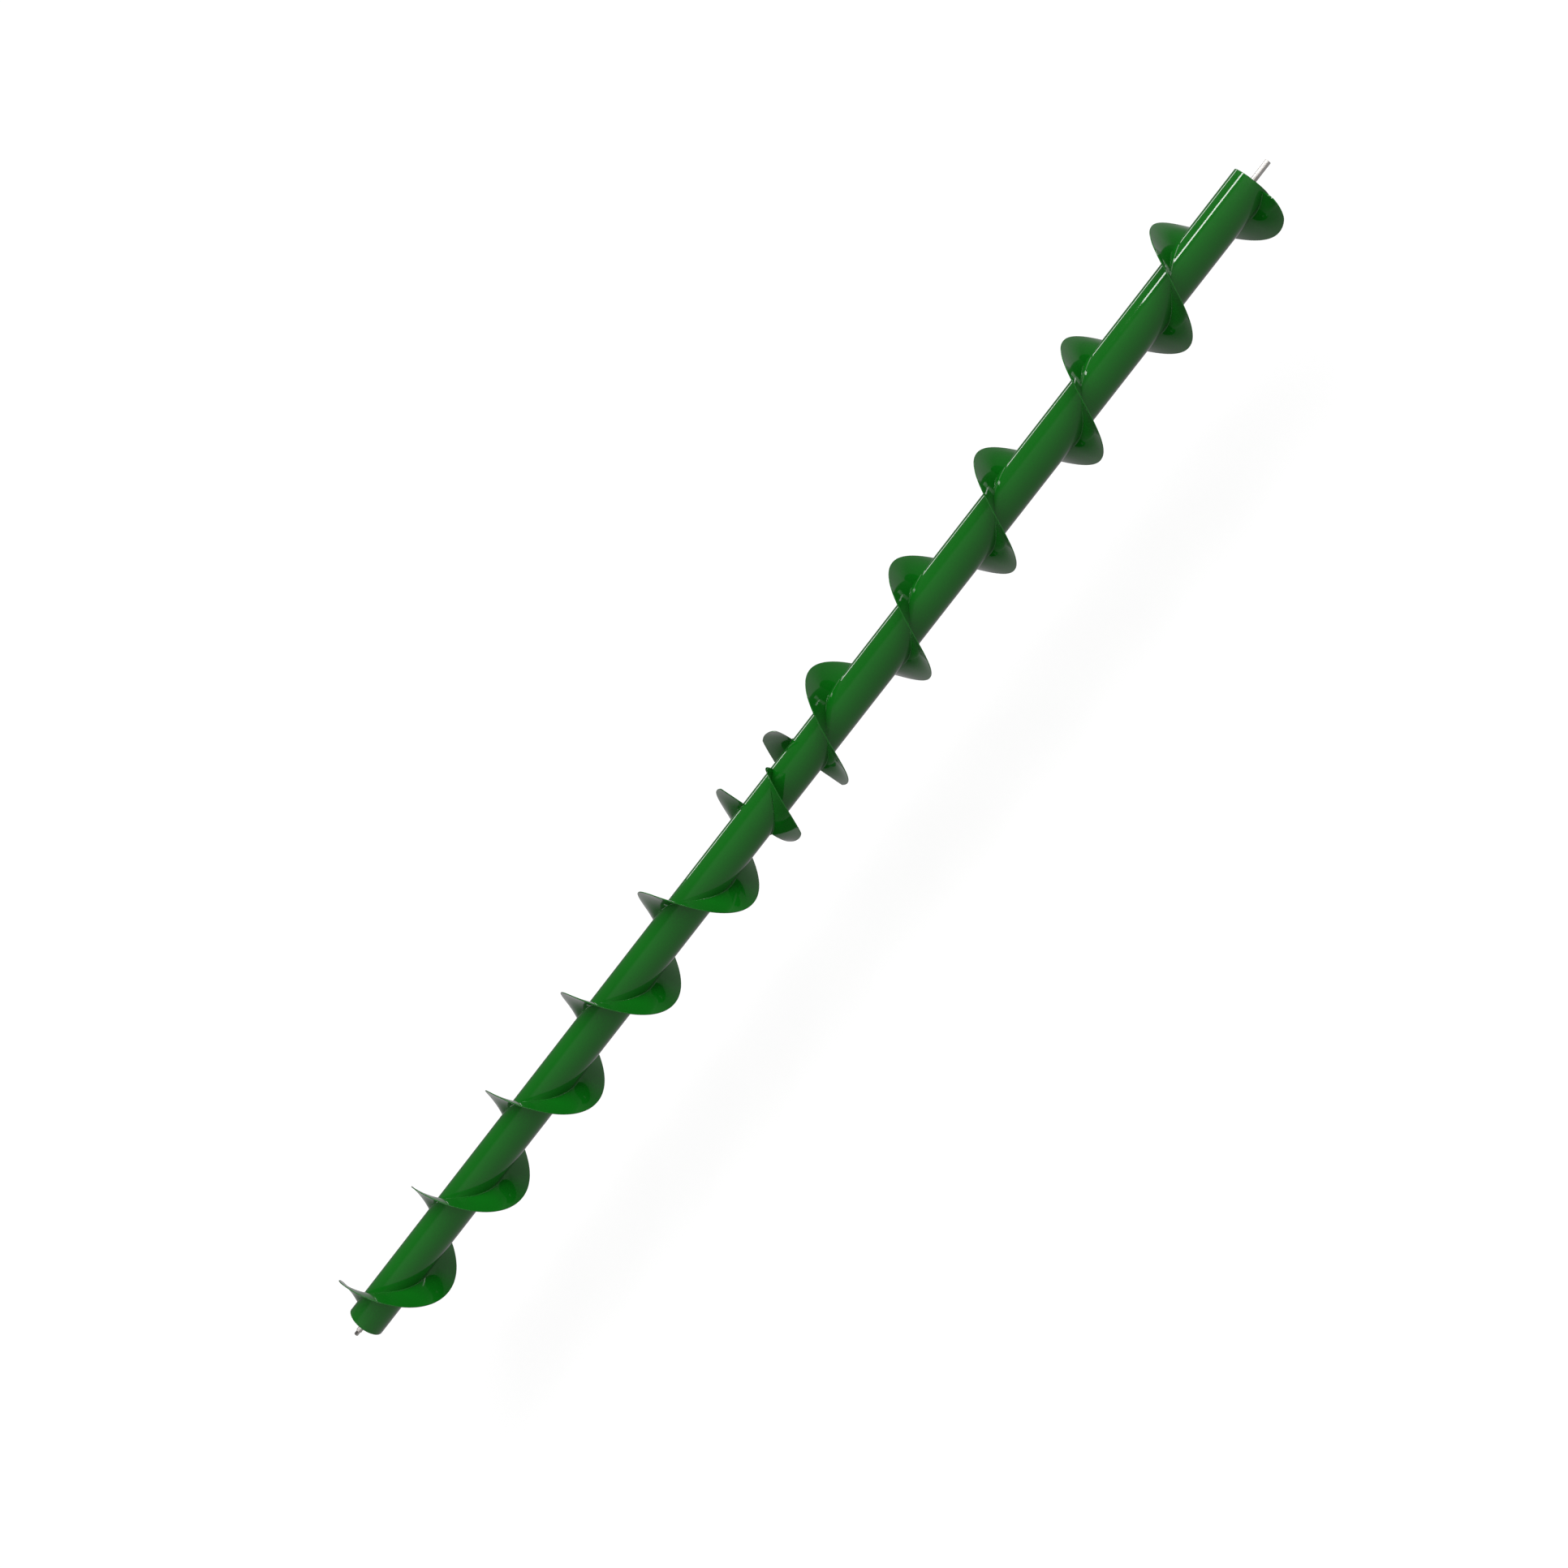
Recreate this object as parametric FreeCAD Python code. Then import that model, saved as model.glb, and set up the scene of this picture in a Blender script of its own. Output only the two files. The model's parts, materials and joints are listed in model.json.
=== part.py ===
import FreeCAD, Part
import math
import os

# Cross auger with right-hand flighting on one half and left-hand flighting on the
# other, so both halves carry material to the middle.  Every piece is built about its
# own axis, local Z, and turned at the end so that the auger lies along X with Z up.
# All sizes are in millimetres and all angles in degrees.  The origin is on the axis,
# midway between the two shaft tips.

# Tube
tube_radius = 84.15
tube_wall = 6.35
tube_length = 6015.0

# Shaft ends
shaft_radius = 12.7
idle_tip_radius = 9.5
idle_full_length = 57.0
idle_projection = 80.0
drive_projection = 98.0
shaft_chamfer = 1.0

# Flighting
flight_radius = 203.2
flight_pitch = 550.0
flight_thickness = 4.76
flight_end_gap = 12.0
flight_centre_shift = -6.0
flight_inner_gap = 150.0
corner_radius = 60.0
weld_gap = 0.05

# Short leaning flights at the middle.  Positions run from the flighting's centre, and the
# root angle is where the plate's root passes that centre.
centre_root_angle = 121.5
centre_lean = 56.4
centre_low_end = -183.0
left_high_end = 44.6
right_high_end = 28.0
trim_direction = 152.4
trim_radius = 253.0
trim_centre = (33.0, -67.0)

# End plates, measured inwards from the tube's end face
plate_recess = 20.0
plate_thickness = 10.0
plate_clearance = 0.1
plate_bore_radius = 30.0

# Drive hub
hub_radius = 29.95
hub_start = 4.0
hub_end = 180.0
inner_plate_start = 164.0
shaft_inner_end = 178.0
pin_radius = 4.0
pin_position = 12.0
keyway_width = 6.35
keyway_depth = 3.2
keyway_length = 60.0

# Bearing, one inch bore, held in a flanged housing at the idle end
bearing_start = 14.0
bearing_width = 12.7
bearing_bore_radius = 12.7
bearing_outer_radius = 25.4
inner_race_thickness = 3.6
outer_race_thickness = 3.6
ball_radius = 3.9
ball_count = 10
ball_clearance = 0.3
seal_thickness = 0.8
cage_thickness = 1.6
cage_width = 10.0
pocket_clearance = 0.1
groove_clearance = 0.02

# Bearing housing and its fasteners
flange_radius = 58.0
flange_start = 10.0
housing_end = 42.0
lip_radius = 18.0
bolt_circle_radius = 45.0
bolt_radius = 4.0
bolt_count = 4
first_bolt_angle = 45.0
bolt_hole_start = 5.0
bolt_end = 39.0
bolt_head_height = 5.3
bolt_across_flats = 13.0
washer_radius = 8.0
washer_thickness = 1.6
nut_height = 6.5

# Rings, seal and cap around the spindle
ring_width = 1.3
ring_height = 2.3
ring_groove_depth = 0.7
locating_ring_start = -4.0
housing_ring_width = 1.5
housing_ring_height = 2.6
lip_seal_width = 2.4
running_gap = 0.3
spindle_inner_end = 34.0
cap_start = 38.0
cap_thickness = 3.0

# How far cutters reach past the faces that they cut
over_cut = 1.0
pocket_over_cut = 2.0
corner_cut_length = 100.0

overall_length = idle_projection + tube_length + drive_projection
tube_start = idle_projection - overall_length / 2
tube_end = tube_start + tube_length
flight_centre = (tube_start + tube_end) / 2 + flight_centre_shift

vector = FreeCAD.Vector
along_axis = vector(0, 0, 1)
lay_down = FreeCAD.Rotation(vector(1, 1, 1), 120)


def disc(radius, start, length):
    """Round bar about the axis, from start to start + length."""
    return Part.makeCylinder(radius, length, vector(0, 0, start))


def ring(outer, inner, start, length):
    """Washer-like ring about the axis."""
    return disc(outer, start, length).cut(disc(inner, start - over_cut, length + 2 * over_cut))


def around(shape, count, first_angle=0.0):
    """The shape repeated at equal angles about the axis, as separate solids."""
    copies = []
    for index in range(count):
        copy = shape.copy()
        copy.rotate(vector(), along_axis, first_angle + 360.0 * index / count)
        copies.append(copy)
    return Part.makeCompound(copies)


def chamfer_ends(shape, size):
    """The same solid with its outermost circular edges at both ends chamfered."""
    ends = (shape.BoundBox.ZMin, shape.BoundBox.ZMax)
    edges = [
        edge
        for edge in shape.Edges
        if edge.BoundBox.ZLength < 1e-6 and min(abs(edge.CenterOfMass.z - end) for end in ends) < 1e-6
    ]
    return shape.makeChamfer(size, edges)


def hexagon(across_flats, start, height, centre_radius):
    """Hexagonal prism on the bolt circle."""
    corner = across_flats / math.sqrt(3)
    points = [
        vector(
            centre_radius + corner * math.cos(math.radians(60 * side)),
            corner * math.sin(math.radians(60 * side)),
            start,
        )
        for side in range(7)
    ]
    return Part.Face(Part.makePolygon(points)).extrude(vector(0, 0, height))


def turn_angle(position):
    """Angle of a left-hand flight at a distance along the axis from its zero angle."""
    return -360.0 * position / flight_pitch


def helicoid(height, lean=0.0):
    """Left-hand flight plate whose root starts at angle 0 and height 0 and climbs the tube.

    The lean is how much higher the rim stands than the root at the same angle.
    """
    inner_radius = tube_radius + weld_gap
    half = flight_thickness / 2
    corners = [
        vector(inner_radius, 0, -half),
        vector(flight_radius, 0, lean - half),
        vector(flight_radius, 0, lean + half),
        vector(inner_radius, 0, half),
        vector(inner_radius, 0, -half),
    ]
    path = Part.makeHelix(flight_pitch, height, inner_radius, 0, True)
    return Part.Wire(path).makePipeShell([Part.makePolygon(corners)], True, True)


def left_hand_flight(start, end):
    """Flight of the drive half between two distances from the flighting's centre."""
    shape = helicoid(end - start)
    shape.rotate(vector(), along_axis, turn_angle(start))
    shape.translate(vector(0, 0, flight_centre + start))
    return shape


def opposite(shape):
    """The same piece on the other half: mirrored end for end and turned half round."""
    other = shape.mirror(vector(0, 0, flight_centre), along_axis)
    other.rotate(vector(), along_axis, 180)
    return other


def corner_cutter(end):
    """Everything outside the arc that rounds a flight's corner at its outer end.

    The arc touches the radial end face and the rim.
    """
    centre_distance = flight_radius - corner_radius
    wedge_angle = math.asin(corner_radius / centre_distance)
    arc_centre = vector(centre_distance * math.cos(wedge_angle), corner_radius, 0)
    far = 2 * flight_radius
    corners = [
        vector(arc_centre.x, -over_cut, 0),
        vector(far, -over_cut, 0),
        vector(far * math.cos(wedge_angle), far * math.sin(wedge_angle), 0),
        arc_centre,
        vector(arc_centre.x, -over_cut, 0),
    ]
    height = vector(0, 0, 2 * corner_cut_length)
    prism = Part.Face(Part.makePolygon(corners)).extrude(height)
    cutter = prism.cut(Part.makeCylinder(corner_radius, height.z, arc_centre))
    cutter.rotate(vector(), along_axis, turn_angle(end))
    cutter.translate(vector(0, 0, flight_centre + end - corner_cut_length))
    return cutter


def half_flights(outer_end):
    """One-turn flight sections from the tube's end inwards, the last cut to length."""
    sections = []
    end = outer_end
    while end > flight_inner_gap:
        start = max(end - flight_pitch, flight_inner_gap)
        sections.append(left_hand_flight(start, end))
        end = start
    sections[0] = sections[0].cut(corner_cutter(outer_end))
    return sections


def centre_flight(high_end):
    """Short left-hand flight at the middle, cut square to the axis at both ends.

    The plate leans, and a flatter arc trims the rim towards its low end.
    """
    first_position = centre_low_end - centre_lean - flight_thickness
    last_position = high_end + flight_thickness
    shape = helicoid(last_position - first_position, centre_lean)
    shape.rotate(vector(), along_axis, centre_root_angle + turn_angle(first_position))
    shape.translate(vector(0, 0, first_position))
    length = high_end - centre_low_end
    trim = Part.makeCylinder(trim_radius, length, vector(*trim_centre, centre_low_end))
    trim.rotate(vector(), along_axis, trim_direction)
    shape = shape.common(trim)
    shape.translate(vector(0, 0, flight_centre))
    return shape


def end_plate(bore_radius, start):
    """Round plate welded inside the tube."""
    radius = tube_radius - tube_wall - plate_clearance
    return ring(radius, bore_radius, start, plate_thickness)


def from_idle_end(shape):
    """Place a piece whose heights run inwards from the tube's idle end."""
    shape.translate(vector(0, 0, tube_start))
    return shape


def from_drive_end(shape):
    """Place a piece whose heights run inwards from the tube's drive end."""
    shape.rotate(vector(), vector(1, 0, 0), 180)
    shape.translate(vector(0, 0, tube_end))
    return shape


def bolt_holes():
    """Cutters for the four housing bolts, through the flange and the end plate."""
    length = plate_recess + plate_thickness
    start = vector(bolt_circle_radius, 0, bolt_hole_start)
    hole = Part.makeCylinder(bolt_radius + running_gap, length, start)
    return around(hole, bolt_count, first_bolt_angle)


def idle_end_plate():
    return end_plate(plate_bore_radius, plate_recess).cut(bolt_holes())


def bearing_housing():
    """Flange against the end plate, and a spigot through it that holds the bearing."""
    flange = disc(flange_radius, flange_start, plate_recess - flange_start)
    spigot = disc(hub_radius, plate_recess, housing_end - plate_recess)
    body = flange.fuse(spigot).removeSplitter()
    body = body.cut(disc(lip_radius, 0, bearing_start + over_cut))
    body = body.cut(disc(bearing_outer_radius, bearing_start, housing_end))
    groove_radius = bearing_outer_radius + ring_groove_depth
    groove_start = bearing_start + bearing_width
    body = body.cut(disc(groove_radius, groove_start, housing_ring_width))
    return body.cut(bolt_holes())


def housing_bolts():
    head_start = flange_start - washer_thickness - bolt_head_height
    head = hexagon(bolt_across_flats, head_start, bolt_head_height, bolt_circle_radius)
    shank_start = flange_start - washer_thickness
    shank_centre = vector(bolt_circle_radius, 0, shank_start)
    shank = Part.makeCylinder(bolt_radius, bolt_end - shank_start, shank_centre)
    return around(head.fuse(shank), bolt_count, first_bolt_angle)


def drilled(shape, start, height):
    """A washer or nut blank on the bolt circle with its bolt hole cut through."""
    centre = vector(bolt_circle_radius, 0, start - over_cut)
    return shape.cut(Part.makeCylinder(bolt_radius, height + 2 * over_cut, centre))


def housing_washers():
    washers = []
    for start in (flange_start - washer_thickness, plate_recess + plate_thickness):
        centre = vector(bolt_circle_radius, 0, start)
        blank = Part.makeCylinder(washer_radius, washer_thickness, centre)
        washer = drilled(blank, start, washer_thickness)
        washers += around(washer, bolt_count, first_bolt_angle).Solids
    return Part.makeCompound(washers)


def housing_nuts():
    start = plate_recess + plate_thickness + washer_thickness
    blank = hexagon(bolt_across_flats, start, nut_height, bolt_circle_radius)
    return around(drilled(blank, start, nut_height), bolt_count, first_bolt_angle)


def ball_groove(clearance):
    """Torus that the balls sweep, for cutting the grooves in the races."""
    pitch_radius = (bearing_bore_radius + bearing_outer_radius) / 2
    middle = vector(0, 0, bearing_start + bearing_width / 2)
    return Part.makeTorus(pitch_radius, ball_radius + clearance, middle)


def bearing_inner_race():
    race = ring(
        bearing_bore_radius + inner_race_thickness,
        bearing_bore_radius,
        bearing_start,
        bearing_width,
    )
    return race.cut(ball_groove(ball_clearance))


def bearing_outer_race():
    race = ring(
        bearing_outer_radius,
        bearing_outer_radius - outer_race_thickness,
        bearing_start,
        bearing_width,
    )
    return race.cut(ball_groove(groove_clearance))


def balls(radius):
    pitch_radius = (bearing_bore_radius + bearing_outer_radius) / 2
    middle = vector(pitch_radius, 0, bearing_start + bearing_width / 2)
    return around(Part.makeSphere(radius, middle), ball_count)


def bearing_cage():
    """Ring with a round pocket for each ball."""
    pitch_radius = (bearing_bore_radius + bearing_outer_radius) / 2
    middle = bearing_start + bearing_width / 2
    blank = ring(
        pitch_radius + cage_thickness / 2,
        pitch_radius - cage_thickness / 2,
        middle - cage_width / 2,
        cage_width,
    )
    pocket = Part.makeCylinder(
        ball_radius + pocket_clearance,
        cage_thickness + 2 * pocket_over_cut,
        vector(pitch_radius - cage_thickness / 2 - pocket_over_cut, 0, middle),
        vector(1, 0, 0),
    )
    return blank.cut(around(pocket, ball_count))


def bearing_seals():
    outer = bearing_outer_radius - outer_race_thickness
    inner = bearing_bore_radius + inner_race_thickness + running_gap
    starts = (bearing_start, bearing_start + bearing_width - seal_thickness)
    return Part.makeCompound([ring(outer, inner, start, seal_thickness) for start in starts])


def spindle_ring_starts():
    """Starts of the rings on both sides of the bearing and of the one outside the tube."""
    return (bearing_start - ring_width, bearing_start + bearing_width, locating_ring_start)


def snap_ring(start):
    """Ring that sits in a shaft groove."""
    inner = shaft_radius - ring_groove_depth
    return ring(inner + ring_height, inner, start, ring_width)


def snap_ring_groove(start):
    """Cutter for the groove of a snap ring on a shaft."""
    return ring(shaft_radius + over_cut, shaft_radius - ring_groove_depth, start, ring_width)


def spindle_snap_rings():
    return Part.makeCompound([snap_ring(start) for start in spindle_ring_starts()])


def housing_snap_ring():
    outer = bearing_outer_radius + ring_groove_depth
    start = bearing_start + bearing_width
    return ring(outer, outer - housing_ring_height, start, housing_ring_width)


def idle_spindle():
    """Fixed stub that carries the bearing and steps down to a smaller tip."""
    full = disc(shaft_radius, -idle_full_length, idle_full_length + spindle_inner_end)
    tip = disc(idle_tip_radius, -idle_projection, idle_projection)
    spindle = chamfer_ends(full.fuse(tip).removeSplitter(), shaft_chamfer)
    for start in spindle_ring_starts():
        spindle = spindle.cut(snap_ring_groove(start))
    return spindle


def spindle_seal():
    return ring(lip_radius, shaft_radius + running_gap, flange_start, lip_seal_width)


def grease_cap():
    return disc(bearing_outer_radius, cap_start, cap_thickness)


def cross_pin(radius, reach):
    """Round pin across the drive hub and shaft, reaching the same way to both sides."""
    centre = vector(-reach, 0, pin_position)
    return Part.makeCylinder(radius, 2 * reach, centre, vector(1, 0, 0))


def drive_hub():
    hub = ring(hub_radius, shaft_radius, hub_start, hub_end - hub_start)
    return hub.cut(cross_pin(pin_radius, hub_radius + over_cut))


def drive_shaft():
    """Drive stub with a sprocket keyway at its outer end and a groove for its snap ring."""
    shaft = disc(shaft_radius, -drive_projection, drive_projection + shaft_inner_end)
    shaft = chamfer_ends(shaft, shaft_chamfer)
    keyway = Part.makeBox(
        keyway_depth,
        keyway_width,
        keyway_length,
        vector(shaft_radius - keyway_depth, -keyway_width / 2, -drive_projection),
    )
    shaft = shaft.cut(keyway).cut(cross_pin(pin_radius, hub_radius + over_cut))
    return shaft.cut(snap_ring_groove(locating_ring_start))


def rotor_pieces():
    """Every piece that turns, by node name."""
    pieces = {"tube": ring(tube_radius, tube_radius - tube_wall, tube_start, tube_length)}
    left_end = tube_end - flight_end_gap - flight_centre
    right_end = flight_centre - tube_start - flight_end_gap
    for number, section in enumerate(half_flights(left_end), 1):
        pieces[f"lh_flight_{number}"] = section
    for number, section in enumerate(half_flights(right_end), 1):
        pieces[f"rh_flight_{number}"] = opposite(section)
    pieces["lh_centre_flight"] = centre_flight(left_high_end)
    pieces["rh_centre_flight"] = opposite(centre_flight(right_high_end))
    pieces["idle_end_plate"] = from_idle_end(idle_end_plate())
    pieces["bearing_housing"] = from_idle_end(bearing_housing())
    pieces["housing_bolts"] = from_idle_end(housing_bolts())
    pieces["housing_washers"] = from_idle_end(housing_washers())
    pieces["housing_nuts"] = from_idle_end(housing_nuts())
    pieces["bearing_outer_race"] = from_idle_end(bearing_outer_race())
    pieces["bearing_balls"] = from_idle_end(balls(ball_radius))
    pieces["bearing_cage"] = from_idle_end(bearing_cage())
    pieces["bearing_seals"] = from_idle_end(bearing_seals())
    pieces["housing_snap_ring"] = from_idle_end(housing_snap_ring())
    pieces["spindle_seal"] = from_idle_end(spindle_seal())
    pieces["grease_cap"] = from_idle_end(grease_cap())
    pieces["drive_end_plate"] = from_drive_end(end_plate(hub_radius, plate_recess))
    pieces["drive_inner_plate"] = from_drive_end(end_plate(hub_radius, inner_plate_start))
    pieces["drive_hub"] = from_drive_end(drive_hub())
    pieces["drive_shaft"] = from_drive_end(drive_shaft())
    pieces["shaft_snap_ring"] = from_drive_end(snap_ring(locating_ring_start))
    pieces["drive_pin"] = from_drive_end(cross_pin(pin_radius, hub_radius))
    return pieces


def spindle_pieces():
    """Every piece that stays still, by node name."""
    return {
        "idle_spindle": from_idle_end(idle_spindle()),
        "bearing_inner_race": from_idle_end(bearing_inner_race()),
        "spindle_snap_rings": from_idle_end(spindle_snap_rings()),
    }


def export(name, shape):
    """Turn the piece from its own axis to X, check it and write it."""
    shape.rotate(vector(), lay_down.Axis, math.degrees(lay_down.Angle))
    bounds = shape.BoundBox
    print(
        f"{name:20s} solids {len(shape.Solids):2d} valid {shape.isValid()} "
        f"volume {shape.Volume:12.1f}  x {bounds.XMin:9.2f} {bounds.XMax:9.2f}"
    )
    shape.exportStep(f"parts/{name}.step")


os.makedirs("parts", exist_ok=True)
for node, piece in {**rotor_pieces(), **spindle_pieces()}.items():
    export(node, piece)
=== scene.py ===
# %% [markdown]
# # A cross auger in green enamel
#
# This auger is a long steel tube with screw flighting welded round it.  One half is a
# right-hand screw and the other a left-hand one, so both carry crop to the middle.
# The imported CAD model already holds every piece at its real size.  Here the large
# painted pieces are made again as smooth surfaces, because polished enamel shows every
# facet of a coarse mesh, and every piece gets its real finish.

# %% Load the frame
import json
import math

import bmesh
import bpy
import numpy as np
from mathutils import Matrix, Vector


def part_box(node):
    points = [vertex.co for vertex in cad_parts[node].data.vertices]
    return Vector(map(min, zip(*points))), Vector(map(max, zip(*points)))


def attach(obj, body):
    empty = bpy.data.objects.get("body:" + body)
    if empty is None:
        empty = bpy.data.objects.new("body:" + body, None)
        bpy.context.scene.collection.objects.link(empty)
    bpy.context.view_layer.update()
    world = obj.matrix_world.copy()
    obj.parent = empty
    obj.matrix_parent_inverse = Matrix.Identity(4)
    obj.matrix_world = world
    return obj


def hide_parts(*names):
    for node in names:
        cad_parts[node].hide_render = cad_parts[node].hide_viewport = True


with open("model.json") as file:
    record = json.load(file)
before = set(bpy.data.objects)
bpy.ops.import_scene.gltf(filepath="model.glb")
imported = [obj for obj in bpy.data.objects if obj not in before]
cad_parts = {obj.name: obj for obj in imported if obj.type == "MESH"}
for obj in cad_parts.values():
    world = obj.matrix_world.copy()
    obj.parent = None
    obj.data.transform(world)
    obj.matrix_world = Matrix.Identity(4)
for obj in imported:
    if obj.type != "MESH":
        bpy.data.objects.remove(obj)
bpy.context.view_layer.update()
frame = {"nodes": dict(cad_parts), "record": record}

# %% [markdown]
# ## Sizes
#
# Lengths are in metres.  The tube and the flighting are measured from the CAD boxes, so
# that nothing has to be fitted.  Only small things that no box can tell, such as
# the plate's thickness and the size of a weld, are named here.

# %% Sizes from the frame
tube_low, tube_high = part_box("tube")
tube_radius = tube_high.z
tube_wall = 0.00635
plate_thickness = 0.00476
half_plate = plate_thickness / 2

first_low, first_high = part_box("lh_flight_1")
flight_radius = first_high.z
flight_pitch = first_high.x - first_low.x - plate_thickness
flight_centre = (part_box("lh_flight_6")[0].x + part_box("rh_flight_6")[1].x) / 2
print("tube", round(tube_radius, 5), "flight", round(flight_radius, 5), "pitch", round(flight_pitch, 5))

# %% [markdown]
# ## Surfaces from grids
#
# Each new piece is a grid of points: rows run along the piece and columns run round its
# outline.  A closed outline and a face over each end make a watertight shell.  Whether
# the faces point outwards is found from the enclosed volume, which is negative when
# they point inwards.

# %% Turn a grid of points into a closed mesh
def grid_faces(rows, columns, ring):
    """Quads between neighbouring rows and columns; a ring also joins last row to first."""
    row = np.arange(rows if ring else rows - 1)
    column = np.arange(columns)
    here, side = np.meshgrid(row, column, indexing="ij")
    there, beside = (here + 1) % rows, (side + 1) % columns
    first = [here * columns + side, here * columns + beside]
    second = [there * columns + beside, there * columns + side]
    return np.stack(first + second, -1).reshape(-1, 4)


def enclosed_volume(points, quads):
    """One sixth of the sum of each quad's two corner-to-corner tetrahedra."""
    a, b, c, d = (points[quads[:, k]] for k in range(4))
    first = np.einsum("ij,ij->i", a, np.cross(b, c))
    second = np.einsum("ij,ij->i", a, np.cross(c, d))
    return (first.sum() + second.sum()) / 6


def shell(name, grid, material, body, ring=False, sharp=50):
    """Closed piece from grid[row, column] = (x, y, z), whose columns go right round."""
    rows, columns = grid.shape[:2]
    points = grid.reshape(-1, 3)
    quads = grid_faces(rows, columns, ring)
    ends = [] if ring else [np.arange(columns)[::-1], np.arange(columns) + (rows - 1) * columns]
    middle = points.mean(0)
    if enclosed_volume(points - middle, quads) < 0:
        quads = quads[:, ::-1]
        ends = [end[::-1] for end in ends]
    mesh = bpy.data.meshes.new(name)
    mesh.from_pydata(points.tolist(), [], quads.tolist() + [end.tolist() for end in ends])
    mesh.polygons.foreach_set("use_smooth", np.ones(len(mesh.polygons), bool))
    mesh.set_sharp_from_angle(angle=math.radians(sharp))
    mesh.materials.append(material)
    piece = bpy.data.objects.new(name, mesh)
    bpy.context.scene.collection.objects.link(piece)
    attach(piece, body)
    return piece


# %% [markdown]
# ## Finishes
#
# Five finishes cover the auger.  Each starts from one Principled shader and adds noise
# in Object coordinates, which stay put on the piece when it turns.  Enamel is a thin
# clear layer over colour: it keeps a faint orange-peel ripple, and its tone drifts a
# little over a metre.  Steel shows the fine rings that a lathe leaves.

# %% Node helpers
def new_finish(name):
    """A material with one Principled shader, and the tree to build on."""
    material = bpy.data.materials.new(name)
    material.use_nodes = True
    return material, material.node_tree, material.node_tree.nodes["Principled BSDF"]


def link(tree, source, target):
    tree.links.new(source, target)


def object_coordinates(tree, stretch=(1, 1, 1)):
    """Object coordinates, scaled along each axis."""
    place = tree.nodes.new("ShaderNodeTexCoord")
    mapping = tree.nodes.new("ShaderNodeMapping")
    mapping.inputs["Scale"].default_value = stretch
    link(tree, place.outputs["Object"], mapping.inputs["Vector"])
    return mapping.outputs["Vector"]


def noise(tree, coordinates, scale, detail=2.0):
    texture = tree.nodes.new("ShaderNodeTexNoise")
    texture.inputs["Scale"].default_value = scale
    texture.inputs["Detail"].default_value = detail
    link(tree, coordinates, texture.inputs["Vector"])
    return texture.outputs["Fac"]


def remap(tree, value, low, high, start=0.3, end=0.7):
    """Noise between start and end becomes a value between low and high."""
    node = tree.nodes.new("ShaderNodeMapRange")
    for socket, number in zip(("From Min", "From Max", "To Min", "To Max"), (start, end, low, high)):
        node.inputs[socket].default_value = number
    link(tree, value, node.inputs["Value"])
    return node.outputs["Result"]


def blend_colours(tree, factor, first, second):
    """Mix two colours; each is a colour or a socket."""
    node = tree.nodes.new("ShaderNodeMix")
    node.data_type = "RGBA"
    for socket, colour in ((node.inputs[6], first), (node.inputs[7], second)):
        if isinstance(colour, tuple):
            socket.default_value = (*colour, 1.0)
        else:
            link(tree, colour, socket)
    link(tree, factor, node.inputs[0])
    return node.outputs[2]


def bump(tree, height, distance, strength=1.0, under=None):
    """Bump of that height in metres, on top of another bump if one is given."""
    node = tree.nodes.new("ShaderNodeBump")
    node.inputs["Distance"].default_value = distance
    node.inputs["Strength"].default_value = strength
    link(tree, height, node.inputs["Height"])
    if under is not None:
        link(tree, under, node.inputs["Normal"])
    return node.outputs["Normal"]


# %% Green enamel
ENAMEL = (0.0045, 0.182, 0.0085)
ENAMEL_DEEP = (0.0038, 0.164, 0.0072)


def enamel(name, orange_peel=0.000012, roughness=0.09):
    """Deep green colour under a clear coat, with orange peel and a slow drift of tone."""
    material, tree, shader = new_finish(name)
    place = object_coordinates(tree)
    tone = remap(tree, noise(tree, place, 2.3, 3.0), 0.0, 1.0)
    link(tree, blend_colours(tree, tone, ENAMEL, ENAMEL_DEEP), shader.inputs["Base Color"])
    haze = remap(tree, noise(tree, place, 40.0), roughness, roughness + 0.08)
    link(tree, haze, shader.inputs["Roughness"])
    shader.inputs["Specular IOR Level"].default_value = 0.08
    shader.inputs["Coat Weight"].default_value = 1.0
    shader.inputs["Coat Roughness"].default_value = 0.03
    shader.inputs["Coat IOR"].default_value = 1.5
    waves = bump(tree, noise(tree, place, 22.0), 0.0004, 0.25)
    peel = bump(tree, noise(tree, place, 420.0, 1.0), orange_peel, 1.0, waves)
    link(tree, peel, shader.inputs["Normal"])
    link(tree, peel, shader.inputs["Coat Normal"])
    return material


tube_enamel = enamel("green_enamel_tube")
flight_enamel = enamel("green_enamel_flighting")
weld_enamel = enamel("green_enamel_welds", orange_peel=0.00006, roughness=0.2)
fitting_enamel = enamel("green_enamel_fittings", orange_peel=0.00005, roughness=0.25)
print("enamel", [round(v, 4) for v in ENAMEL])


# %% Steel and rubber
def steel(name, colour, dark, roughness, ring_scale):
    """Metal with fine turning rings along X and darker handling marks."""
    material, tree, shader = new_finish(name)
    place = object_coordinates(tree)
    rings = noise(tree, object_coordinates(tree, (ring_scale, 4, 4)), 1.0, 3.0)
    marks = remap(tree, noise(tree, place, 55.0, 5.0), 0.0, 1.0, 0.4, 0.75)
    link(tree, blend_colours(tree, marks, colour, dark), shader.inputs["Base Color"])
    link(tree, remap(tree, rings, roughness - 0.08, roughness + 0.1), shader.inputs["Roughness"])
    shader.inputs["Metallic"].default_value = 1.0
    link(tree, bump(tree, rings, 0.00003, 0.6), shader.inputs["Normal"])
    return material


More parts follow.
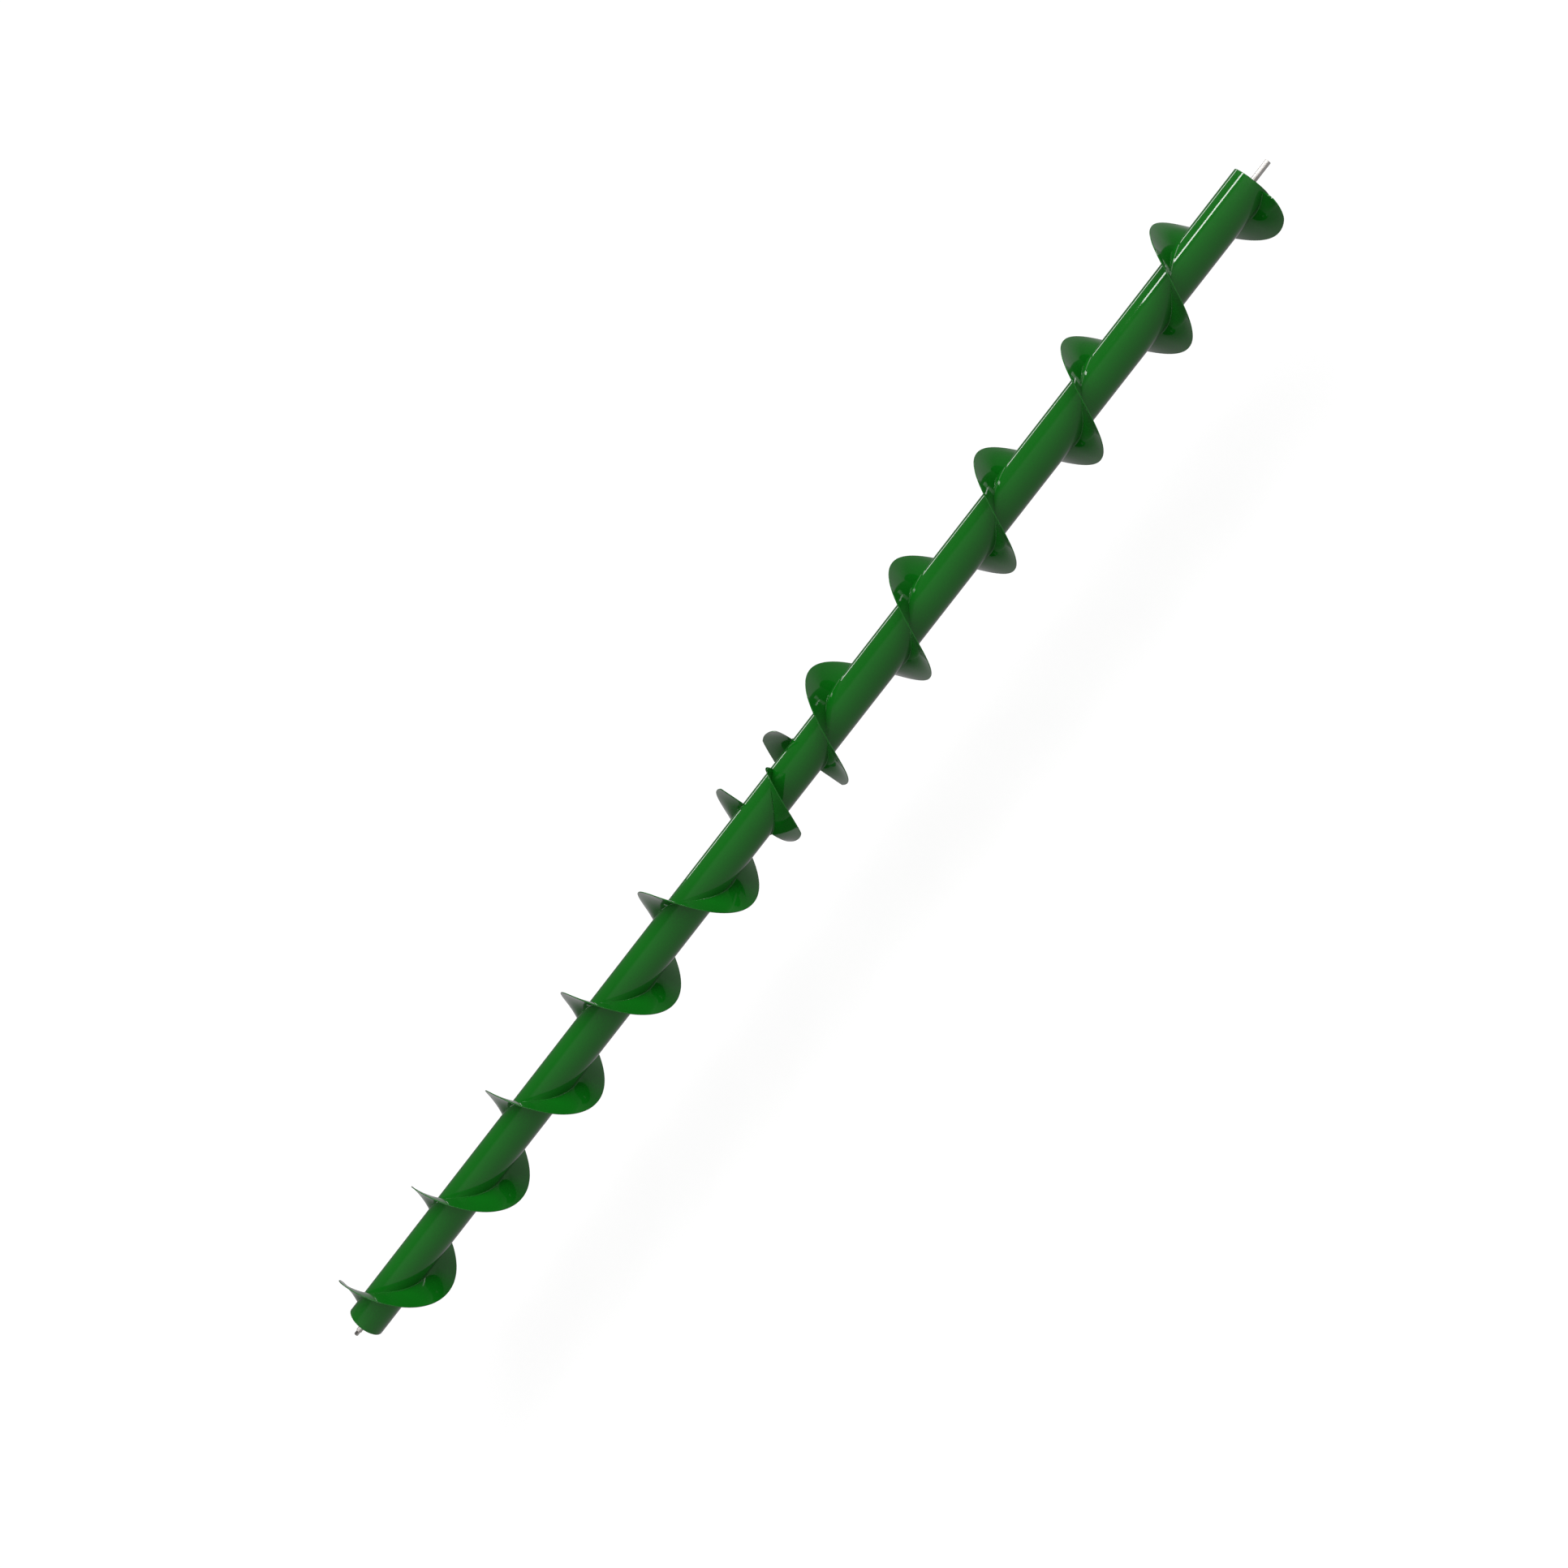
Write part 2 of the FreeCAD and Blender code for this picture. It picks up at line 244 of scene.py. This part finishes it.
def rubber(name):
    """Black rubber with a dusty, slightly grainy surface."""
    material, tree, shader = new_finish(name)
    place = object_coordinates(tree)
    dust = remap(tree, noise(tree, place, 160.0, 4.0), 0.0, 0.5, 0.45, 0.8)
    colour = blend_colours(tree, dust, (0.012, 0.012, 0.013), (0.07, 0.068, 0.062))
    link(tree, colour, shader.inputs["Base Color"])
    link(tree, remap(tree, noise(tree, place, 300.0), 0.5, 0.7), shader.inputs["Roughness"])
    link(tree, bump(tree, noise(tree, place, 900.0), 0.00004), shader.inputs["Normal"])
    return material


bright_steel = steel("turned_bright_steel", (0.72, 0.69, 0.66), (0.50, 0.47, 0.44), 0.36, 900)
zinc_steel = steel("zinc_plated_steel", (0.52, 0.52, 0.49), (0.34, 0.34, 0.30), 0.34, 60)
ground_steel = steel("ground_bearing_steel", (0.62, 0.62, 0.62), (0.45, 0.45, 0.45), 0.2, 400)
black_rubber = rubber("black_seal_rubber")

# %% [markdown]
# ## The tube
#
# A turned shape is its outline carried round the axis.  The tube's outline runs along
# the outside, over the sawn end, back along the bore and over the other end, so the
# rows here are positions along the outline and form a ring.  A row one millimetre from
# each rounded lip keeps the lip's shading off the long straight wall, which would
# otherwise bend the reflections near the tube's ends.

# %% Turned shapes
AROUND = 160


def turned(name, outline, material, body, around=AROUND, sharp=50):
    """Closed outline of (x, radius) pairs carried round the X axis, as a ring of rows."""
    outline = np.asarray(outline, float)
    angle = np.linspace(0, 2 * math.pi, around, endpoint=False)
    x = np.repeat(outline[:, :1], around, axis=1)
    radius = outline[:, 1:]
    grid = np.stack([x, radius * np.cos(angle), radius * np.sin(angle)], -1)
    return shell(name, grid, material, body, ring=True, sharp=sharp)


def rounded_corner(centre, radius, start, end, steps=5):
    """Arc of (x, radius) points about a centre, from one angle in degrees to another."""
    angle = np.radians(np.linspace(start, end, steps))
    return np.stack([centre[0] + radius * np.cos(angle), centre[1] + radius * np.sin(angle)], -1)


# %% The tube itself
bore_radius = tube_radius - tube_wall
lip = 0.0012
low_x, high_x = tube_low.x, tube_high.x
beside_lip = lip + 0.001
first_row = 0.05
middle_x = np.linspace(low_x + first_row, high_x - first_row, 60)
line_x = np.concatenate([[low_x + beside_lip], middle_x, [high_x - beside_lip]])
outer_line = np.stack([line_x, np.full_like(line_x, tube_radius)], -1)
bore_line = np.stack([line_x[::-1], np.full_like(line_x, bore_radius)], -1)
tube_outline = np.concatenate([
    outer_line,
    rounded_corner((high_x - lip, tube_radius - lip), lip, 90, 0),
    rounded_corner((high_x - lip, bore_radius + lip), lip, 0, -90),
    bore_line,
    rounded_corner((low_x + lip, bore_radius + lip), lip, -90, -180),
    rounded_corner((low_x + lip, tube_radius - lip), lip, 180, 90),
])
tube = turned("tube_shell", tube_outline, tube_enamel, "rotor")
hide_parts("tube")
print("tube faces", len(tube.data.polygons))

# %% [markdown]
# ## The flighting
#
# A flight is a helicoid: each cross-section is a thin radial strip, turned and moved
# along the tube together.  The strip's outline is a rectangle with its outer corners
# rounded.  Columns close to each corner keep the flat faces flat, so that they
# reflect the tube cleanly.  The first turn at each end of the tube has its free corner
# cut to an arc, because a sharp corner there would catch the crop.

# %% Outline of the plate
edge_round = 0.0011


def plate_outline(steps=14):
    """Outline round the plate: share of the way out, shift inwards, and height off its middle."""
    share = np.linspace(0, 1, steps)
    close = edge_round + 0.0008
    face = [(s, -close if s == 1 else 0.0, -half_plate) for s in share]
    corner = np.radians(np.linspace(-90, 90, 9))
    flat = half_plate - edge_round
    rim = [
        (1.0, edge_round * (math.cos(a) - 1), math.copysign(flat, a) + edge_round * math.sin(a))
        for a in corner
    ]
    back = [(s, shift, -height) for s, shift, height in reversed(face)]
    return np.array(face + rim + back)


# %% Sweep the plate round the tube
OUTLINE = plate_outline()


def helix_angle(x, hand):
    """Angle from +Y towards +Z where the flighting meets the plane at x; hand is 1 or -1."""
    turns = (x - flight_centre) / flight_pitch
    return np.where(hand > 0, math.pi, 0.0) + hand * 2 * math.pi * turns


def helicoid(x, angle, inner, outer):
    """Grid of a plate: at each step the outline lies between the inner and outer radius."""
    share, shift, height = OUTLINE.T
    radius = inner[:, None] + (outer - inner)[:, None] * share + shift
    place = x[:, None] + height
    turn = angle[:, None]
    return np.stack([place + 0 * radius, radius * np.cos(turn), radius * np.sin(turn)], -1)


# %% The flights with their rounded free corners
corner_radius = 0.060
corner_share = 0.1
corner_rows = 41


def corner_rim(turn):
    """Rim radius at an angle from the outer end: an arc that touches the end and the rim."""
    centre = flight_radius - corner_radius
    centre_turn = math.asin(corner_radius / centre)
    offset = np.minimum(turn, centre_turn) - centre_turn
    arc = centre * np.cos(offset) + np.sqrt(corner_radius**2 - (centre * np.sin(offset)) ** 2)
    return np.minimum(flight_radius, arc)


def corner_places(x, outer_end):
    """The same places with rows packed towards the free end, where the corner is round."""
    inner_end = x[0] if outer_end == x[-1] else x[-1]
    reach = corner_share * (inner_end - outer_end)
    close = outer_end + reach * np.linspace(0, 1, corner_rows) ** 2
    return np.sort(np.concatenate([close, x[np.abs(x - outer_end) > abs(reach)]]))


def flight(node, hand):
    """One section of flighting, as long as its CAD node, two degrees a step."""
    low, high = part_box(node)
    start, end = low.x + half_plate, high.x - half_plate
    steps = max(8, round(180 * (end - start) / flight_pitch))
    x = np.linspace(start, end, steps + 1)
    outer = np.full_like(x, flight_radius)
    if node.endswith("_1"):
        outer_end = end if hand < 0 else start
        x = corner_places(x, outer_end)
        outer = corner_rim(2 * math.pi * np.abs(x - outer_end) / flight_pitch)
    inner = np.full_like(x, tube_radius)
    piece = shell(node + "_plate", helicoid(x, helix_angle(x, hand), inner, outer), flight_enamel, "rotor")
    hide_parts(node)
    return x


flight_runs = {}
for hand, prefix in ((1, "rh"), (-1, "lh")):
    for number in range(1, 7):
        node = f"{prefix}_flight_{number}"
        flight_runs[node] = (flight(node, hand), hand)
print("flights", len(flight_runs))

# %% [markdown]
# ## The two centre flights
#
# Two short flights overlap the gap in the middle, one on each side of the tube.  Each
# plate leans: its rim stands further along the tube than its root at the same angle.
# Both ends are cut square to the tube, and a flatter arc trims the rim towards the low
# end.  Rows at one x each give the square ends by themselves, and the angle then follows
# from the helix and the lean.  The second plate is the first turned end for end.

# %% Shape of a centre flight
root_angle = math.radians(121.5)
lean = 0.0564
trim_radius = 0.253
trim_along, trim_across = 0.033, -0.067
trim_angle = math.radians(152.4) + math.atan2(trim_across, trim_along)
trim_offset = math.hypot(trim_along, trim_across)
settle_steps = 8


def trimmed_rim(angle):
    """Where a ray from the axis leaves the trimming arc, or the full radius if smaller."""
    along = trim_offset * np.cos(angle - trim_angle)
    across = trim_offset * np.sin(angle - trim_angle)
    return np.minimum(flight_radius, along + np.sqrt(trim_radius**2 - across**2))


def leaning_angle(x, radius):
    """Angle of the plate's middle where it meets the plane at x, at that radius."""
    share = (radius - tube_radius) / (flight_radius - tube_radius)
    return root_angle + 2 * math.pi * (lean * share - x) / flight_pitch


# %% Make both centre flights
def centre_flight(node, side):
    """side is 1 for the left-hand piece and -1 for its twin, turned end for end.

    The rim's angle depends on its radius and the trim on that angle, so a few rounds
    settle both.
    """
    ends = [side * (corner.x - flight_centre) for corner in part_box(node)]
    x = np.linspace(min(ends), max(ends), 110)[:, None]
    share, shift, height = OUTLINE.T
    outer = np.full_like(x, flight_radius)
    for _ in range(settle_steps):
        outer = trimmed_rim(leaning_angle(x, outer))
    radius = tube_radius + (outer - tube_radius) * share + shift
    angle = leaning_angle(x - height, radius)
    grid = np.stack([x + 0 * radius, radius * np.cos(angle), radius * np.sin(angle)], -1)
    grid = grid * side + np.array([flight_centre, 0, 0])
    piece = shell(node + "_plate", grid, flight_enamel, "rotor")
    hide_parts(node)
    x = x[:, 0]
    half_turn = 0 if side > 0 else math.pi
    return flight_centre + side * x, leaning_angle(x, tube_radius) + half_turn


centre_runs = {
    "lh_centre_flight": centre_flight("lh_centre_flight", 1),
    "rh_centre_flight": centre_flight("rh_centre_flight", -1),
}
print("centre flights", {name: len(run[0]) for name, run in centre_runs.items()})

# %% [markdown]
# ## Weld beads
#
# The flighting is welded to the tube along its root.  A bead fills the corner between the
# plate and the tube, and each drop of the weld leaves a small ripple.  The side that
# pushes the crop has a continuous bead, and the back has short stitches.

# %% A bead along a helix
bead_leg = 0.0034
bead_depth = 0.0006
ripple_pitch = 0.0034
stitch_pitch = 0.16
stitch_share = 0.5


def bead_grid(x, angle, side, stitched):
    """Convex corner fill: legs on tube and plate, rippled along the run, closed inside."""
    run = np.concatenate([[0], np.cumsum(np.hypot(np.diff(x), tube_radius * np.diff(angle)))])
    size = bead_leg * (1 + 0.07 * np.sin(2 * math.pi * run / ripple_pitch) + 0.05 * np.sin(run * 31.0))
    if stitched:
        place = (run / stitch_pitch) % 1.0
        end_taper = np.minimum(place, stitch_share - place) / 0.04
        size = size * np.clip(end_taper, 0, 1) ** 0.5
    corner = np.radians(np.linspace(0, 90, 6))
    bulge = 1 + 0.12 * np.sin(2 * corner)
    out = size[:, None] * np.cos(corner) ** 1.35 * bulge
    up = size[:, None] * np.sin(corner) ** 1.35 * bulge
    buried = np.full((len(x), 1), -bead_depth)
    out = np.concatenate([out, buried], axis=1)
    up = np.concatenate([up, buried], axis=1)
    place = x[:, None] + side * (half_plate + out)
    radius = tube_radius + up
    turn = angle[:, None]
    return np.stack([place, radius * np.cos(turn), radius * np.sin(turn)], -1)


def fine_run(x, angle, step=0.0013):
    """The same run in steps of about step metres."""
    length = np.hypot(x[-1] - x[0], tube_radius * (angle[-1] - angle[0]))
    share = np.linspace(0, 1, max(12, int(length / step)))
    return x[0] + (x[-1] - x[0]) * share, angle[0] + (angle[-1] - angle[0]) * share


# %% Lay both beads of every flight
def weld(name, x, angle, push_side):
    """The continuous bead on the pushing side and the stitches on the back."""
    x, angle = fine_run(x, angle)
    for label, side in (("push", push_side), ("back", -push_side)):
        grid = bead_grid(x, angle, side, stitched=label == "back")
        piece = shell(f"{name}_{label}_bead", grid, weld_enamel, "rotor", sharp=80)


for node, (x, hand) in flight_runs.items():
    weld(node, x, helix_angle(x, hand), 1 if hand > 0 else -1)
for node, (x, angle) in centre_runs.items():
    weld(node, x, angle, -1 if node.startswith("lh") else 1)
print("beads", 2 * (len(flight_runs) + len(centre_runs)))

# %% [markdown]
# ## Fittings at the two ends
#
# The end plates, housing, shafts, bolts and bearing are right as they come from CAD.
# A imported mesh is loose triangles, so a merged copy is made of each, which can be
# shaded smooth between its sharp edges.  A small bevel then catches the light.

# %% Smooth copies of the CAD nodes
def smooth_copy(node, material, bevel=0.0):
    """A merged, smoothly shaded copy that stands for the node."""
    source = frame["nodes"][node]
    mesh = source.data.copy()
    work = bmesh.new()
    work.from_mesh(mesh)
    bmesh.ops.remove_doubles(work, verts=work.verts, dist=1e-6)
    bmesh.ops.dissolve_limit(work, angle_limit=math.radians(0.5), verts=work.verts, edges=work.edges)
    work.to_mesh(mesh)
    work.free()
    mesh.polygons.foreach_set("use_smooth", np.ones(len(mesh.polygons), bool))
    mesh.set_sharp_from_angle(angle=math.radians(35))
    mesh.materials.clear()
    mesh.materials.append(material)
    piece = bpy.data.objects.new(node + "_finished", mesh)
    bpy.context.scene.collection.objects.link(piece)
    if bevel:
        modifier = piece.modifiers.new("edges", "BEVEL")
        modifier.width = bevel
        modifier.segments = 2
        modifier.limit_method = "ANGLE"
        modifier.angle_limit = math.radians(40)
    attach(piece, piece_body[node])
    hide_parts(node)


piece_body = {
    node: body for body, nodes in frame["record"]["behaviour"]["bodies"].items() for node in nodes
}
FINISHES = {
    "green_paint": fitting_enamel,
    "bare_steel": bright_steel,
    "zinc_plate": zinc_steel,
    "bearing_steel": ground_steel,
    "seal_rubber": black_rubber,
}
BEVELS = {
    "bearing_housing": 0.0008,
    "drive_hub": 0.0008,
    "housing_nuts": 0.0004,
    "housing_bolts": 0.0004,
}
slots = {row["node"]: row["material_slot"] for row in frame["record"]["subparts"]}
large = {"tube"} | set(flight_runs) | set(centre_runs)
for node in sorted(set(slots) - large):
    smooth_copy(node, FINISHES[slots[node]], BEVELS.get(node, 0.0))
print("fittings", len(set(slots) - large))

# %% [markdown]
# ## Welds round the end plates
#
# Each end plate sits inside the tube, held by one bead right round its outer face.

# %% Ring welds
def ring_weld(name, face_x, outward, radius, leg=0.006, ripples=150):
    """Bead in the corner between a plate's face and the bore, as a ring of rows."""
    angle = np.linspace(0, 2 * math.pi, ripples * 4, endpoint=False)
    size = leg * (1 + 0.06 * np.sin(ripples * angle) + 0.05 * np.sin(7 * angle))
    corner = np.radians(np.linspace(0, 90, 6))
    buried = np.full((len(angle), 1), -bead_depth)
    out = np.concatenate([size[:, None] * np.cos(corner) ** 1.3, buried], axis=1)
    inwards = np.concatenate([size[:, None] * np.sin(corner) ** 1.3, buried], axis=1)
    reach = radius - inwards
    turn = angle[:, None]
    grid = np.stack([face_x + outward * out, reach * np.cos(turn), reach * np.sin(turn)], -1)
    piece = shell(name, grid, weld_enamel, "rotor", ring=True, sharp=80)


ring_weld("idle_plate_weld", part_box("idle_end_plate")[0].x, -1, bore_radius)
ring_weld("drive_plate_weld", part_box("drive_end_plate")[1].x, 1, bore_radius)

# %% [markdown]
# ## Studio
#
# The floor is a large pale sheet well below the auger.  A wide sun high up and a little
# towards the drive end gives the soft fall of light from the top of the tube to its
# underside, and lights the flights of the idle half more than those of the drive half.
# Softboxes are seen only in the gloss: one behind draws the thin line along the tube's
# upper edge, one above the drive end makes the broad highlight there, and three panels
# beyond each end brighten the steel shafts.  The room is paler in front of the auger
# and darker above and behind, so the enamel looks deep along its top.

# %% Floor and room
floor_drop = 0.55
floor_tone = 0.97
front_tone, back_tone = 0.345, 0.13


def pale_floor():
    """One large square, far below the auger, that only the camera sees."""
    reach = 160.0
    corners = [(-reach, -reach), (reach, -reach), (reach, reach), (-reach, reach)]
    mesh = bpy.data.meshes.new("floor")
    height = -flight_radius - floor_drop
    mesh.from_pydata([(x, y, height) for x, y in corners], [], [(0, 1, 2, 3)])
    material, tree, shader = new_finish("pale_floor")
    shader.inputs["Base Color"].default_value = (0.35, 0.35, 0.35, 1)
    shader.inputs["Roughness"].default_value = 0.9
    shader.inputs["Specular IOR Level"].default_value = 0.0
    shader.inputs["Emission Color"].default_value = (1, 1, 1, 1)
    shader.inputs["Emission Strength"].default_value = 0.75
    mesh.materials.append(material)
    floor = bpy.data.objects.new("floor", mesh)
    bpy.context.scene.collection.objects.link(floor)
    floor.visible_glossy = False
    floor.visible_diffuse = False


def grey_room():
    """Grey light, darker above and behind, and the floor's tone past the floor.

    The smaller of a direction's Y and Z tells how far it points up and back.
    """
    world = bpy.data.worlds.new("room")
    world.use_nodes = True
    tree = world.node_tree
    lit = tree.nodes["Background"]
    direction = tree.nodes.new("ShaderNodeTexCoord")
    parts = tree.nodes.new("ShaderNodeSeparateXYZ")
    link(tree, direction.outputs["Generated"], parts.inputs[0])
    smaller = tree.nodes.new("ShaderNodeMath")
    smaller.operation = "MINIMUM"
    link(tree, parts.outputs["Y"], smaller.inputs[0])
    link(tree, parts.outputs["Z"], smaller.inputs[1])
    link(tree, remap(tree, smaller.outputs[0], front_tone, back_tone, -0.35, -0.1), lit.inputs["Color"])
    seen = tree.nodes.new("ShaderNodeBackground")
    seen.inputs["Color"].default_value = (floor_tone, floor_tone, floor_tone, 1)
    path = tree.nodes.new("ShaderNodeLightPath")
    choose = tree.nodes.new("ShaderNodeMixShader")
    link(tree, path.outputs["Is Camera Ray"], choose.inputs[0])
    link(tree, lit.outputs[0], choose.inputs[1])
    link(tree, seen.outputs[0], choose.inputs[2])
    link(tree, choose.outputs[0], tree.nodes["World Output"].inputs["Surface"])
    bpy.context.scene.world = world


pale_floor()
grey_room()


# %% Lights
def aim(thing, target):
    """Turn a light so that it shines at the target."""
    thing.rotation_mode = "QUATERNION"
    thing.rotation_quaternion = (Vector(target) - thing.location).to_track_quat("-Z", "Y")


def overhead_sun():
    """Very wide sun above and towards the drive end, for the body colour only."""
    lamp = bpy.data.lights.new("overhead", "SUN")
    lamp.energy = 2.2
    lamp.angle = math.radians(70)
    sun = bpy.data.objects.new("overhead", lamp)
    sun.location = (3.4, 0, 8)
    sun.visible_glossy = False
    bpy.context.scene.collection.objects.link(sun)
    aim(sun, (0, 0, 0))


def softbox(name, centre, along, height, radiance, target):
    """Rectangle seen only in the enamel; power is radiance times area times pi."""
    lamp = bpy.data.lights.new(name, "AREA")
    lamp.shape = "RECTANGLE"
    lamp.size, lamp.size_y = along, height
    lamp.energy = radiance * along * height * math.pi
    box = bpy.data.objects.new(name, lamp)
    box.location = centre
    box.visible_diffuse = False
    bpy.context.scene.collection.objects.link(box)
    aim(box, target)


def ring_point(x, distance, degrees):
    """A point at that distance from the axis, at an angle from +Y towards +Z."""
    turn = math.radians(degrees)
    return (x, distance * math.cos(turn), distance * math.sin(turn))


overhead_sun()
softbox("edge_light", ring_point(0.85, 6.0, 24.5), 5.9, 0.62, 4.2, (0.7, 0, 0))
softbox("end_light", ring_point(3.15, 3.0, 81.6), 1.2, 0.45, 14.0, (3.15, 0, 0))
for name, x in (("drive_steel_light", 3.78), ("idle_steel_light", -5.06)):
    for degrees in (55, 97, 139):
        softbox(f"{name}_{degrees}", ring_point(x, 3.0, degrees), 0.7, 2.1, 3.2, (x, 0, 0))

# %% [markdown]
# ## Camera
#
# The camera looks down at the middle of the auger from in front and to the right, and is
# rolled so that the auger climbs the picture from lower left to upper right.

# %% Camera
camera_distance = 9.475
camera_shift = 1.857
camera_turn = 152.4
climb = math.radians(52.14)


def place_camera():
    """Aim at the origin, then roll until the X axis climbs the picture at the angle wanted."""
    data = bpy.data.cameras.new("camera")
    data.sensor_width = 36.0
    data.lens = 54.0
    data.clip_end = 500.0
    camera = bpy.data.objects.new("camera", data)
    place = Vector(ring_point(camera_shift, camera_distance, camera_turn))
    back = place.normalized()
    along = Vector((1, 0, 0))
    along = (along - along.dot(back) * back).normalized()
    across = back.cross(along)
    right = math.cos(climb) * along - math.sin(climb) * across
    up = math.sin(climb) * along + math.cos(climb) * across
    camera.matrix_world = Matrix((
        (right.x, up.x, back.x, place.x),
        (right.y, up.y, back.y, place.y),
        (right.z, up.z, back.z, place.z),
        (0, 0, 0, 1),
    ))
    bpy.context.scene.collection.objects.link(camera)
    bpy.context.scene.camera = camera


place_camera()
bpy.context.scene.view_settings.view_transform = "Standard"

# %% Finish
bpy.context.view_layer.update()
